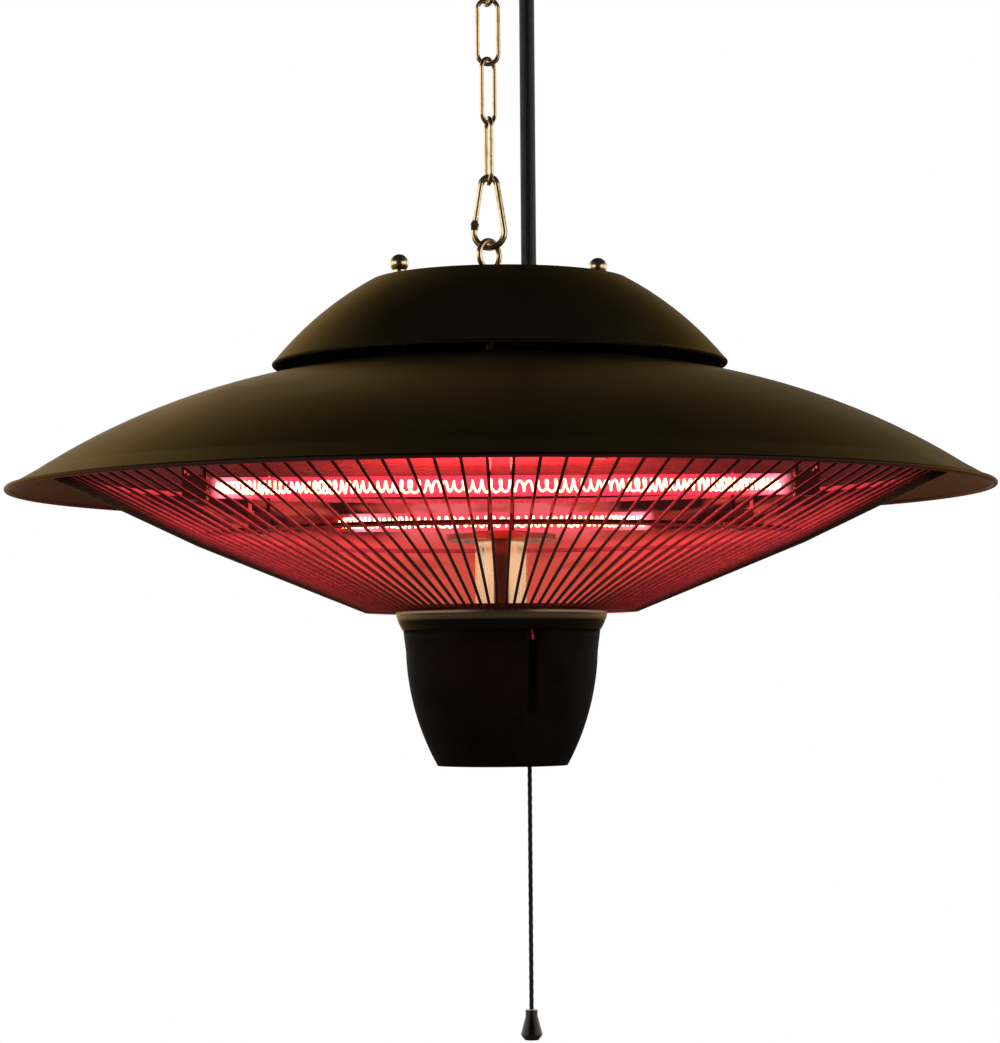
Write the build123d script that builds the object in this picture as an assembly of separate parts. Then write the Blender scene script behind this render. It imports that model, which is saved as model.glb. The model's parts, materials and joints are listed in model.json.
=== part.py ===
from build123d import *
import os
from math import asin, atan2, cos, degrees, hypot, pi, radians, sin, sqrt, tan

os.makedirs("parts", exist_ok=True)

# Every height below is over the canopy's rim plane, and save() moves the whole
# part down so that the ceiling plate's top face is the origin plane.
# All lengths are in millimetres, and +X is to the right in the photograph.

# Clearances
free_gap = 0.3
close_gap = 0.05
overrun = 5.0

# Canopy, a spun steel shade
canopy_radius = 302.5
canopy_rim_height = 1.0
canopy_curve = 428.0
canopy_curve_centre = 51.0
canopy_peak = 80.5
canopy_land_radius = 72.0
canopy_lip_radius = 285.0
canopy_sheet = 1.2
canopy_hem = 1.6

# Top cap over the vent gap
cap_rim_radius = 140.5
cap_vent_gap = 8.0
cap_height = 57.1
cap_shoulder_radius = 80.0
cap_shoulder_drop = 5.5
cap_bulge = 3.9
cap_sheet = 1.2
cap_hem = 1.3

# Studs, sleeves and ball nuts that hold the cap
stud_offset = 62.4
stud_turn = 10.15
stud_radius = 2.5
ball_radius = 5.8
ball_rise = 8.3
ball_collar_radius = 4.1
sleeve_radius = 5.0
nut_across = 9.2
nut_height = 4.6

# Frame bar under the canopy
bar_length = 138.0
bar_width = 30.0
bar_depth = 12.0
bar_sheet = 2.0

# Hanging eye
eye_x = -6.0
eye_outer_radius = 10.75
eye_wire_radius = 1.85
eye_turn = 46.0
eye_collar_radius = 6.0
eye_collar_height = 1.0
eye_shank_radius = 3.0
eye_shank_below = 9.0

# Snap hook and its gate
hook_wire_radius = 2.0
hook_bottom_radius = 9.5
hook_top_radius = 5.0
hook_height = 47.8
hook_turn = -6.0
gate_radius = 1.7
gate_pivot_rise = 3.4
gate_tongue = 1.8
ear_thickness = 1.1
ear_radius = 2.4
gate_pin_radius = 0.8
gate_slot_gap = 0.3

# Chain links
link_wire_radius = 1.425
link_length = 43.45
link_width = 15.7
chain_play = 0.45
link_turns = {"chain_link_3": 104.0, "chain_link_2": 53.0, "chain_link_1": 0.0, "chain_link_top": -60.0}

# Ceiling fitting
ceiling_wire_radius = 2.5
ceiling_hook_radius = 9.0
ceiling_hook_stem = 19.4
ceiling_hook_open_angle = 60.0
plate_radius = 45.0
plate_thickness = 3.0
plate_screw_circle = 66.0
plate_screw_radius = 2.4
plate_screw_count = 3
hook_nut_across = 13.0
hook_nut_height = 5.0
outlet_radius = 9.0
outlet_wall = 1.5
outlet_flange_radius = 13.0
outlet_flange = 2.0
outlet_below_hinge = 4.6
plate_cable_hole = 6.0

# Mains cable
cable_x = 18.3
cable_radius = 4.7
cable_above_hinge = 2.4
gland_radius = 8.0
gland_height = 5.0
gland_flange_radius = 10.5
gland_flange = 1.6

# Terminal block on the canopy
block_length = 26.0
block_width = 17.0
block_height = 18.0
wire_hole_radius = 6.0
wire_circle = 4.2
lead_radius = 1.3
lead_turns = (240.0, 300.0, 120.0, 60.0)
switch_lead_turns = (180.0, 0.0)
switch_lead_offset = 7.0
switch_lead_shift = 12.0

# Reflector dish
reflector_radius = 256.0
reflector_flat_radius = 150.0
reflector_height = 26.0
reflector_drop = 13.0
reflector_sheet = 1.0
reflector_roll = 3.0
reflector_bore = 10.0

# Post over the switch cup, with its flange and collar
neck_radius = 16.0
neck_lip_radius = 20.0
neck_bore = 9.5
neck_height = 2.2
neck_lip = 1.0
flange_radius = 34.0
flange_top_height = -26.0
flange_thickness = 3.7
post_radius = 16.0
post_wall = 1.5
post_bore = 13.0

# Grille of bent wires
wire_count = 114
wire_thickness = 1.8
wire_sides = 6
grille_top_radius = 274.0
grille_top_height = 10.6
grille_knee_radius = 186.2
grille_knee_height = -30.6
grille_bend_radius = 84.0
grille_floor_height = -72.3
grille_end_radius = 64.5
top_ring_inset = 3.0
mid_hoop_offset = 2.4
ring_width = 3.0
ring_thickness = 2.0
foot_ring_inner = 73.0
foot_ring_outer = 77.0
clip_count = 4
clip_width = 14.0
clip_length = 9.0
clip_start_turn = 46.5

# Base plate, bezel and switch cup
base_plate_radius = 72.0
base_plate_thickness = 1.5
bezel_radius = 65.1
bezel_edge = 1.4
bezel_height = 11.4
bezel_low_radius = 60.9
bezel_bulge = 0.5
bezel_wall = 1.4
cup_top_radius = 60.6
cup_waist_radius = 59.0
cup_waist_drop = 12.8
cup_mid_radius = 53.9
cup_mid_drop = 47.7
cup_bottom_radius = 39.9
cup_height = 82.6
cup_wall = 2.2
cup_floor = 2.5
channel_count = 3
channel_turn = -71.2
channel_circle = 54.4
channel_radius = 3.1
channel_top_drop = 3.4
channel_wall = 1.8
cup_screw_radius = 1.6
cup_screw_head_radius = 2.8
cup_screw_head = 2.6

# Quartz tubes
tube_offset = 130.0
tube_radius = 6.0
tube_bore = 5.0
tube_heights = {"front": -4.1, "back": -11.1}
tube_half_lengths = {"front": 176.0, "back": 160.0}
filament_ends = {"front": (-165.2, 162.3), "back": (-108.7, 96.8)}
front_curl_count = 57
back_curl_count = 36
filament_radius = 3.9
filament_wire = 0.6
holder_length = 14.0
holder_width = 14.0
holder_grip = 8.0
bracket_sheet = 1.2
bracket_width = 12.0
bracket_inset = 3.0
lead_rise = 14.0
reflector_lead_hole = 3.0

# Pull switch in the cup
cord_x = 16.5
cord_radius = 1.4
cord_drop = 149.0
cord_ball_radius = 3.4
lever_reach = 24.0
lever_lift = 11.75
lever_half_thickness = 1.5
lever_half_width = 3.0
lever_hub_radius = 4.0
fork_half_width = 4.6
fork_slot = 2.0
fork_length = 8.0
switch_pin_radius = 1.5
pivot_drop = 44.8
switch_length = 28.0
switch_width = 22.0
switch_height = 32.0
switch_lead = 5.5
switch_slot = 3.5
switch_slot_depth = 13.0
rotor_radius = 7.5
rotor_teeth = 8
rotor_tooth = 1.2
rotor_thickness = 4.0
rotor_inset = 11.0
strap_sheet = 1.5
strap_foot = 12.0
bushing_radius = 4.0
bushing_bore = 1.75
bushing_height = 8.0
bushing_flange = 6.0
bushing_flange_height = 1.5
knob_height = 18.2
knob_top_radius = 3.7
knob_radius = 6.7
knob_foot_radius = 4.3
knob_waist_share = 0.2
knob_wide_share = 0.82
cutout_radius = 8.0
cutout_height = 7.0
cutout_offset = 40.0


# Heights that follow from the sizes above
def canopy_surface(radius, depth=0.0):
    """Height of the canopy's curve, depth below its outer face."""
    arc = sqrt((canopy_curve - depth) ** 2 - (radius - canopy_curve_centre) ** 2)
    return canopy_peak - canopy_curve + arc


canopy_land = canopy_surface(canopy_land_radius)
canopy_underside = canopy_surface(canopy_land_radius, canopy_sheet)
cap_rim_height = canopy_surface(cap_rim_radius) + cap_vent_gap
cap_crown = cap_rim_height + cap_height
cap_shoulder = cap_crown - cap_shoulder_drop
eye_mid_radius = eye_outer_radius - eye_wire_radius
eye_centre = cap_crown + eye_collar_height / 2 + eye_outer_radius
link_mid_length = link_length - 2 * link_wire_radius
link_mid_width = link_width - 2 * link_wire_radius
hook_seat = eye_centre + eye_mid_radius - eye_wire_radius - hook_wire_radius - free_gap
hook_crown = hook_seat + hook_height - 2 * hook_wire_radius
first_link_low = hook_crown - hook_wire_radius - link_wire_radius - free_gap
link_pitch = link_mid_length - 2 * link_wire_radius - chain_play
link_lows = {name: first_link_low + place * link_pitch for place, name in enumerate(link_turns)}
chain_crown = link_lows["chain_link_top"] + link_mid_length
ceiling_seat = chain_crown - link_wire_radius - ceiling_wire_radius - free_gap
ceiling_height = ceiling_seat + 2 * ceiling_hook_radius + ceiling_hook_stem
plate_underside = ceiling_height - plate_thickness
top_ring_radius = grille_top_radius - top_ring_inset
mid_hoop_radius = grille_knee_radius + mid_hoop_offset
grille_floor_top = grille_floor_height + wire_thickness / 2
grille_floor_low = grille_floor_height - wire_thickness / 2
base_plate_top = grille_floor_top + base_plate_thickness
post_top = flange_top_height - flange_thickness
cup_top = grille_floor_low - bezel_height - free_gap
cup_bottom = cup_top - cup_height
channel_top = cup_top - channel_top_drop
pivot_height = grille_floor_low - pivot_drop
pivot_x = cord_x - lever_reach
ball_clear = sqrt(cord_ball_radius**2 - fork_slot**2) / cos(radians(lever_lift)) + free_gap
cord_ball_height = (
    pivot_height
    + lever_reach * tan(radians(lever_lift))
    + lever_half_thickness / cos(radians(lever_lift))
    + ball_clear
)
cord_low = cup_bottom - cord_drop


def save(shape, node):
    """Writes a node with the ceiling plate's top face on the origin plane."""
    export_step(Pos(0, 0, -ceiling_height) * shape, f"parts/{node}.step")


def rod(radius, low, high, x=0.0, y=0.0):
    """An upright round bar between two heights."""
    return Pos(x, y, (low + high) / 2) * Cylinder(radius, high - low)


def pipe(outer, inner, low, high, x=0.0, y=0.0):
    """An upright tube between two heights."""
    return rod(outer, low, high, x, y) - rod(inner, low - overrun, high + overrun, x, y)


def slab(x_ends, y_ends, z_ends):
    """A box between three pairs of places."""
    size = [ends[1] - ends[0] for ends in (x_ends, y_ends, z_ends)]
    middle = [(ends[0] + ends[1]) / 2 for ends in (x_ends, y_ends, z_ends)]
    return Pos(*middle) * Box(*size)


def turned(*edges):
    """A solid of revolution about Z from a closed chain of edges in radius and height."""
    return revolve(Plane.XZ * make_face(edges), Axis.Z)


def turned_points(*points):
    """A solid of revolution about Z from corner points in radius and height."""
    return turned(Polyline(*points, close=True))


def hexagon_nut(across, bore, low, high, x=0.0, y=0.0):
    """A plain nut with a smooth bore."""
    body = extrude(RegularPolygon(across / 2, 6, major_radius=False), high - low)
    return Pos(x, y, low) * body - rod(bore, low - overrun, high + overrun, x, y)


def stud_places():
    """The two places of the cap studs."""
    turn = radians(stud_turn)
    return [(side * stud_offset * cos(turn), side * stud_offset * sin(turn)) for side in (-1, 1)]


def swept(path, radius):
    """A round tube along a path."""
    return sweep((path ^ 0) * Circle(radius), path=path)


# Canopy
def canopy_lip():
    """Direction and inward normal of the straight lip of the canopy."""
    drop = canopy_surface(canopy_lip_radius) - canopy_rim_height
    run = canopy_radius - canopy_lip_radius
    length = hypot(run, drop)
    return (run / length, -drop / length), (-drop / length, -run / length)


def canopy():
    """The spun shade: flat land, long arc, straight lip and rolled hem."""
    along, inward = canopy_lip()
    mid_radius = (canopy_land_radius + canopy_lip_radius) / 2
    outer_lip = (canopy_lip_radius, canopy_surface(canopy_lip_radius))
    rim = (canopy_radius, canopy_rim_height)
    inner_rim = (rim[0] + canopy_sheet * inward[0], rim[1] + canopy_sheet * inward[1])
    inner_lip_radius = canopy_lip_radius + canopy_sheet * inward[0]
    inner_lip = (inner_lip_radius, canopy_surface(inner_lip_radius, canopy_sheet))
    land = (canopy_land_radius, canopy_land)
    inner_land = (canopy_land_radius, canopy_underside)
    mid = (mid_radius, canopy_surface(mid_radius))
    inner_mid = (mid_radius, canopy_surface(mid_radius, canopy_sheet))
    face = make_face(
        [
            Line((0, canopy_land), land),
            ThreePointArc(land, mid, outer_lip),
            Line(outer_lip, rim),
            Line(rim, inner_rim),
            Line(inner_rim, inner_lip),
            ThreePointArc(inner_lip, inner_mid, inner_land),
            Line(inner_land, (0, canopy_underside)),
            Line((0, canopy_underside), (0, canopy_land)),
        ]
    )
    hem_centre = (
        rim[0] - canopy_hem * along[0] + canopy_sheet * inward[0] / 2,
        rim[1] - canopy_hem * along[1] + canopy_sheet * inward[1] / 2,
    )
    face = face + Pos(*hem_centre) * Circle(canopy_hem)
    shade = revolve(Plane.XZ * face, Axis.Z)
    for x, y in stud_places():
        shade -= rod(stud_radius + close_gap, canopy_underside - overrun, canopy_land + overrun, x, y)
    shade -= rod(eye_shank_radius + close_gap, canopy_underside - overrun, canopy_land + overrun, eye_x)
    return shade - rod(wire_hole_radius, canopy_underside - overrun, canopy_land + overrun, cable_x)


def under_canopy():
    """The room under the canopy's sheet, for cutting what seats against it."""
    mid_radius = (canopy_land_radius + canopy_lip_radius) / 2
    land = (canopy_land_radius, canopy_underside)
    mid = (mid_radius, canopy_surface(mid_radius, canopy_sheet))
    lip = (canopy_lip_radius, canopy_surface(canopy_lip_radius, canopy_sheet))
    return turned(
        Line((0, canopy_underside), land),
        ThreePointArc(land, mid, lip),
        Line(lip, (canopy_lip_radius, grille_floor_height)),
        Line((canopy_lip_radius, grille_floor_height), (0, grille_floor_height)),
        Line((0, grille_floor_height), (0, canopy_underside)),
    )


# Top cap
def cap_form(depth):
    """The cap as a filled form, depth inside its outer face."""
    slope = atan2(cap_shoulder - cap_rim_height, cap_rim_radius - cap_shoulder_radius)
    crown = cap_crown - depth
    shoulder = (cap_shoulder_radius - depth * tan(slope / 2), cap_shoulder - depth)
    rim = (cap_rim_radius - depth / sin(slope), cap_rim_height)
    half_radius = shoulder[0] / 2
    crown_curve = (shoulder[0] ** 2 + cap_shoulder_drop**2) / (2 * cap_shoulder_drop)
    half_height = crown - crown_curve + sqrt(crown_curve**2 - half_radius**2)
    middle = (
        (shoulder[0] + rim[0]) / 2 + cap_bulge * sin(slope),
        (shoulder[1] + rim[1]) / 2 + cap_bulge * cos(slope),
    )
    return turned(
        ThreePointArc((0, crown), (half_radius, half_height), shoulder),
        ThreePointArc(shoulder, middle, rim),
        Line(rim, (0, cap_rim_height)),
        Line((0, cap_rim_height), (0, crown)),
    )


def top_cap():
    """The spun cap with its rolled hem and its four holes."""
    hem_centre = (cap_rim_radius - cap_hem, cap_rim_height)
    hem = revolve(Plane.XZ * (Pos(*hem_centre) * Circle(cap_hem)), Axis.Z)
    cap = cap_form(0.0) - cap_form(cap_sheet) + hem
    for x, y in stud_places():
        cap -= rod(stud_radius + close_gap, cap_shoulder - 2 * overrun, cap_crown + overrun, x, y)
    cap -= rod(eye_shank_radius + close_gap, cap_shoulder, cap_crown + overrun, eye_x)
    return cap - rod(gland_radius, cap_shoulder, cap_crown + overrun, cable_x)


def cap_studs():
    """Two threaded rods from under the reflector to the ball nuts."""
    top = cap_crown - cap_shoulder_drop + ball_rise
    low = reflector_height - nut_height
    return Compound(children=[rod(stud_radius, low, top, x, y) for x, y in stud_places()])


def ball_nuts():
    """Ball nuts with a collar that sits on the cap's curved crown."""
    centre = cap_crown - ball_drop() + ball_rise
    nuts = []
    for x, y in stud_places():
        nut = Pos(x, y, centre) * Sphere(ball_radius)
        nut += rod(ball_collar_radius, cap_shoulder - overrun, centre, x, y) - cap_form(0.0)
        nut -= rod(stud_radius + close_gap, cap_shoulder - overrun, centre + free_gap, x, y)
        nuts.append(nut)
    return Compound(children=nuts)


def ball_drop():
    """How far the cap's crown has fallen at the studs."""
    crown_curve = (cap_shoulder_radius**2 + cap_shoulder_drop**2) / (2 * cap_shoulder_drop)
    return crown_curve - sqrt(crown_curve**2 - stud_offset**2)


def upper_sleeves():
    """Spacer sleeves that hold the cap off the canopy."""
    room = cap_form(cap_sheet)
    sleeves = [
        pipe(sleeve_radius, stud_radius + close_gap, canopy_land, cap_crown, x, y) & room
        for x, y in stud_places()
    ]
    return Compound(children=sleeves)


def lower_sleeves():
    """Spacer sleeves between the frame bar and the reflector."""
    low = reflector_height + reflector_sheet
    high = canopy_underside - bar_sheet
    bore = stud_radius + close_gap
    return Compound(children=[pipe(sleeve_radius, bore, low, high, x, y) for x, y in stud_places()])


def stud_nuts():
    """Nuts under the reflector on both studs."""
    low = reflector_height - nut_height
    bore = stud_radius + close_gap
    nuts = [hexagon_nut(nut_across, bore, low, reflector_height, x, y) for x, y in stud_places()]
    return Compound(children=nuts)


def frame_bar():
    """A channel bar, open below, in line with the two studs."""
    half_length = bar_length / 2
    half_width = bar_width / 2
    top = canopy_underside
    low = top - bar_depth
    bar = slab((-half_length, half_length), (-half_width, half_width), (low, top))
    inside = half_width - bar_sheet
    cut_ends = (-half_length - overrun, half_length + overrun)
    bar -= slab(cut_ends, (-inside, inside), (low - overrun, top - bar_sheet))
    bar = Rot(0, 0, stud_turn) * bar
    for x, y in stud_places():
        bar -= rod(stud_radius + close_gap, low, top + overrun, x, y)
    bar -= rod(eye_shank_radius + close_gap, low, top + overrun, eye_x)
    return bar - rod(wire_hole_radius, low, top + overrun, cable_x)


# Hanging eye
def hanging_eye():
    """A ring on a collared shank that runs down through cap, canopy and frame bar."""
    ring = Rot(0, 0, eye_turn) * (Rot(90, 0, 0) * Torus(eye_mid_radius, eye_wire_radius))
    eye = Pos(eye_x, 0, eye_centre) * ring
    low = canopy_underside - bar_sheet - eye_shank_below
    eye += rod(eye_collar_radius, cap_crown, cap_crown + eye_collar_height, eye_x)
    return eye + rod(eye_shank_radius, low, cap_crown + eye_collar_height, eye_x)


def eye_nut():
    """The nut that carries the frame bar on the eye's shank."""
    high = canopy_underside - bar_sheet
    return hexagon_nut(2 * eye_collar_radius, eye_shank_radius + close_gap, high - nut_height, high, eye_x)


# Snap hook
def hook_sides():
    """Touch angle of the hook's two straight sides, from its pear shape."""
    centres = hook_crown - hook_top_radius - hook_seat - hook_bottom_radius
    return asin((hook_bottom_radius - hook_top_radius) / centres)


def hook_points():
    """Centre line points of the hook in its own plane: low and high, left and right."""
    lean = hook_sides()
    low_centre = hook_seat + hook_bottom_radius
    high_centre = hook_crown - hook_top_radius
    low = (hook_bottom_radius * cos(lean), low_centre + hook_bottom_radius * sin(lean))
    high = (hook_top_radius * cos(lean), high_centre + hook_top_radius * sin(lean))
    return low, high


def gate_ends():
    """Pivot and tip of the gate along the hook's left side."""
    low, high = hook_points()
    along = Vector(high[0] - low[0], high[1] - low[1]).normalized()
    pivot = (-(low[0] + along.X * gate_pivot_rise), low[1] + along.Y * gate_pivot_rise)
    tip = (-high[0], high[1])
    return pivot, tip


def in_hook_plane(shape):
    """Moves a shape from the plane X, Z through the chain line to the hook's turn."""
    return Pos(eye_x, 0, 0) * Rot(0, 0, hook_turn) * shape


def snap_hook_body():
    """The bent rod of the hook with two ears for the gate."""
    low, high = hook_points()
    pivot, tip = gate_ends()
    left_low = (-low[0], low[1])
    path = Wire(
        [
            Plane.XZ * ThreePointArc(left_low, (0, hook_seat), low),
            Plane.XZ * Line(low, high),
            Plane.XZ * ThreePointArc(high, (0, hook_crown), tip),
        ]
    )
    body = swept(path, hook_wire_radius)
    bearing = Rot(90, 0, 0) * Cylinder(ear_radius, gate_tongue + 2 * gate_slot_gap + 2 * ear_thickness)
    body += Pos(pivot[0], 0, pivot[1]) * bearing
    stem_height = pivot[1] - left_low[1]
    middle = ((pivot[0] + left_low[0]) / 2, 0, (pivot[1] + left_low[1]) / 2)
    body += Pos(*middle) * Box(2 * hook_wire_radius, 2 * hook_wire_radius, stem_height)
    slot_half = gate_tongue / 2 + gate_slot_gap
    reach = ear_radius + overrun
    slot = slab(
        (pivot[0] - reach, pivot[0] + reach),
        (-slot_half, slot_half),
        (pivot[1] - ear_radius - gate_slot_gap, pivot[1] + reach),
    )
    body -= slot
    hole = Rot(90, 0, 0) * Cylinder(gate_pin_radius + close_gap, 2 * reach)
    return in_hook_plane(body - Pos(pivot[0], 0, pivot[1]) * hole)


def snap_hook_gate():
    """The sprung gate: a round bar with a flat tongue on its pin."""
    pivot, tip = gate_ends()
    along = Vector(tip[0] - pivot[0], 0, tip[1] - pivot[1])
    length = along.length - gate_slot_gap
    lean = degrees(atan2(along.X, along.Z))
    start = ear_radius + gate_slot_gap
    tongue = Rot(90, 0, 0) * Cylinder(ear_radius - gate_slot_gap, gate_tongue)
    tongue += slab((-gate_radius, gate_radius), (-gate_tongue / 2, gate_tongue / 2), (0, start + gate_radius))
    gate = tongue + rod(gate_radius, start, length)
    gate -= Rot(90, 0, 0) * Cylinder(gate_pin_radius + close_gap, overrun)
    return in_hook_plane(Pos(pivot[0], 0, pivot[1]) * Rot(0, lean, 0) * gate)


def gate_pin():
    """The pin of the gate, between the outer faces of the ears."""
    pivot, _ = gate_ends()
    length = gate_tongue + 2 * gate_slot_gap + 2 * ear_thickness
    pin = Rot(90, 0, 0) * Cylinder(gate_pin_radius, length)
    return in_hook_plane(Pos(pivot[0], 0, pivot[1]) * pin)


# Chain
def chain_link(name):
    """One link: a closed bent wire with round ends, turned about the chain line."""
    low = link_lows[name] + link_mid_width / 2
    high = low + link_mid_length - link_mid_width
    half = link_mid_width / 2
    path = Wire(
        [
            Plane.XZ * Line((half, low), (half, high)),
            Plane.XZ * ThreePointArc((half, high), (0, high + half), (-half, high)),
            Plane.XZ * Line((-half, high), (-half, low)),
            Plane.XZ * ThreePointArc((-half, low), (0, low - half), (half, low)),
        ]
    )
    link = sweep(Pos(half, 0, low) * Circle(link_wire_radius), path=path)
    return Pos(eye_x, 0, 0) * Rot(0, 0, link_turns[name]) * link


# Ceiling fitting
def ceiling_hook():
    """An open ring on a straight shank, up to the plate's top face."""
    centre = ceiling_seat + ceiling_hook_radius
    start = radians(90)
    end = start - 2 * pi + radians(ceiling_hook_open_angle)
    places = [start, (start + end) / 2, end]
    arc_points = [
        (ceiling_hook_radius * cos(turn), centre + ceiling_hook_radius * sin(turn)) for turn in places
    ]
    ring = swept(Wire([Plane.XZ * ThreePointArc(*arc_points)]), ceiling_wire_radius)
    shank = rod(ceiling_wire_radius, centre + ceiling_hook_radius, ceiling_height)
    return Pos(eye_x, 0, 0) * (ring + shank)


def hook_nut():
    """The nut that locks the ceiling hook under the plate."""
    bore = ceiling_wire_radius + close_gap
    return hexagon_nut(hook_nut_across, bore, plate_underside - hook_nut_height, plate_underside, eye_x)


def ceiling_plate():
    """The round plate with its screw holes, the hook's hole and the cable's hole."""
    plate = rod(plate_radius, plate_underside, ceiling_height)
    for place in range(plate_screw_count):
        turn = radians(90 + 360 / plate_screw_count * place)
        x = plate_screw_circle / 2 * cos(turn)
        y = plate_screw_circle / 2 * sin(turn)
        plate -= rod(plate_screw_radius, plate_underside - overrun, ceiling_height + overrun, x, y)
    plate -= rod(
        ceiling_wire_radius + close_gap, plate_underside - overrun, ceiling_height + overrun, eye_x
    )
    return plate - rod(plate_cable_hole, plate_underside - overrun, ceiling_height + overrun, cable_x)


def cable_outlet():
    """The flanged sleeve that the mains cable hangs out of."""
    low = ceiling_seat - outlet_below_hinge
    bore = outlet_radius - outlet_wall
    sleeve = pipe(outlet_radius, bore, low, plate_underside, cable_x)
    flange = pipe(outlet_flange_radius, bore, plate_underside - outlet_flange, plate_underside, cable_x)
    flange -= rod(ceiling_wire_radius + overrun, low, plate_underside + overrun, eye_x)
    return sleeve + flange


# Mains cable and its fittings
def mains_cable():
    """The taut cable from the ceiling outlet to the terminal block."""
    low = canopy_land + block_height + free_gap
    return rod(cable_radius, low, ceiling_seat + cable_above_hinge, cable_x)


def cable_gland():
    """A rubber grommet in the cap, with its lip inside."""
    bore = cable_radius + free_gap
    low = cap_shoulder
    body = pipe(gland_radius, bore, low - gland_flange, cap_crown, cable_x) & cap_form(0.0)
    lip = pipe(gland_flange_radius, bore, low - gland_flange - gland_height, low, cable_x)
    return body + (lip & cap_form(cap_sheet))


def terminal_block():
    """The block on the canopy that the cable ends in."""
    half_length = block_length / 2
    half_width = block_width / 2
    base = canopy_land
    block = slab(
        (cable_x - half_length, cable_x + half_length), (-half_width, half_width), (base, base + block_height)
    )
    clear = eye_shank_radius + free_gap
    return block - rod(clear, base - overrun, base + block_height + overrun, eye_x)


# Reflector
def reflector_face(depth):
    """Corner points of the dish's underside, depth above it."""
    slope = atan2(reflector_drop, reflector_radius - reflector_flat_radius)
    rise = depth / cos(slope)
    flat = (reflector_flat_radius + depth * tan(slope / 2), reflector_height + depth)
    rim = (reflector_radius, reflector_height - reflector_drop + rise)
    return flat, rim


def lead_places():
    """Where the leads rise from the holders through the reflector."""
    places = []
    for row, y in (("front", -tube_offset), ("back", tube_offset)):
        x = tube_half_lengths[row] - holder_grip + lead_radius + close_gap
        places += [(row, -x, y), (row, x, y)]
    return places


def reflector():
    """The polished dish over the tubes, with a rolled rim."""
    flat, rim = reflector_face(0.0)
    top_flat, top_rim = reflector_face(reflector_sheet)
    dish = turned_points(
        (reflector_bore, reflector_height),
        flat,
        rim,
        (rim[0] + reflector_sheet, rim[1]),
        (rim[0] + reflector_sheet, rim[1] + reflector_roll),
        (rim[0], rim[1] + reflector_roll),
        top_rim,
        top_flat,
        (reflector_bore, reflector_height + reflector_sheet),
    )
    low = reflector_height - reflector_drop - overrun
    high = reflector_height + overrun
    for x, y in stud_places():
        dish -= rod(stud_radius + close_gap, low, high, x, y)
    for _, x, y in lead_places():
        dish -= rod(reflector_lead_hole, low, high, x, y)
    return dish


def over_reflector():
    """The room above the dish's underside, for cutting what seats against it."""
    flat, rim = reflector_face(0.0)
    return turned_points((0, reflector_height), flat, rim, (rim[0], canopy_peak), (0, canopy_peak))


# Post
def post_neck():
    """The low collar on the flange, which the switch leads pass through."""
    lip = flange_top_height + neck_lip
    collar = pipe(neck_radius, neck_bore, flange_top_height, flange_top_height + neck_height)
    return collar + pipe(neck_lip_radius, neck_bore, flange_top_height, lip)


def hub_flange():
    """The round flange on top of the post."""
    return pipe(flange_radius, post_bore, post_top, flange_top_height)


def central_post():
    """The polished tube that stands on the base plate."""
    return pipe(post_radius, post_radius - post_wall, base_plate_top, post_top)


# Grille
def grille_wires():
    """All the bent wires, each a solid of its own."""
    path = Polyline(
        (grille_end_radius, 0, grille_floor_height),
        (grille_bend_radius, 0, grille_floor_height),
        (grille_knee_radius, 0, grille_knee_height),
        (grille_top_radius, 0, grille_top_height),
    )
    section = Plane(origin=path @ 0, x_dir=(0, 1, 0), z_dir=(1, 0, 0))
    profile = section * RegularPolygon(wire_thickness / 2, wire_sides, major_radius=False, rotation=30)
    wire = sweep(profile, path=path, transition=Transition.RIGHT)
    turns = [360 / wire_count * place for place in range(wire_count)]
    return Compound(children=[Rot(0, 0, turn) * wire for turn in turns])


def band_on_wires(radius):
    """A flat hoop that lies on the outer slope of the wires."""
    run = grille_top_radius - grille_knee_radius
    rise = grille_top_height - grille_knee_height
    length = hypot(run, rise)
    along = (run / length, rise / length)
    off = (-rise / length, run / length)
    height = grille_knee_height + (radius - grille_knee_radius) * rise / run
    half = ring_width / 2
    low = wire_thickness / 2
    high = low + ring_thickness
    corners = [(-half, low), (half, low), (half, high), (-half, high)]
    points = [
        (radius + s * along[0] + n * off[0], height + s * along[1] + n * off[1]) for s, n in corners
    ]
    return turned_points(*points)


def foot_ring():
    """The flat ring on the level feet of the wires."""
    return pipe(foot_ring_outer, foot_ring_inner, grille_floor_top, base_plate_top)


def grille_clips():
    """Blocks that hold the top ring under the canopy."""
    low = canopy_rim_height + grille_top_height
    reach = top_ring_radius - clip_length
    room = under_canopy() - band_on_wires(top_ring_radius)
    block = slab((reach, top_ring_radius + clip_length / 2), (-clip_width / 2, clip_width / 2), (low, canopy_peak))
    turns = [clip_start_turn + 360 / clip_count * place for place in range(clip_count)]
    clips = []
    for turn in turns:
        clip = (Rot(0, 0, turn) * block) & room
        clips.append(max(clip.solids(), key=lambda solid: solid.volume))
    return Compound(children=clips)


# Base plate, bezel and cup
def channel_places():
    """The places of the three cup screws."""
    turns = [radians(channel_turn + 360 / channel_count * place) for place in range(channel_count)]
    return [(channel_circle * cos(turn), channel_circle * sin(turn)) for turn in turns]


def post_base_plate():
    """The disc that clamps the wires' feet from above and carries the post."""
    plate = pipe(base_plate_radius, post_bore, grille_floor_top, base_plate_top)
    for x, y in channel_places():
        plate -= rod(cup_screw_radius + close_gap, grille_floor_top - overrun, base_plate_top + overrun, x, y)
    return plate


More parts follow.
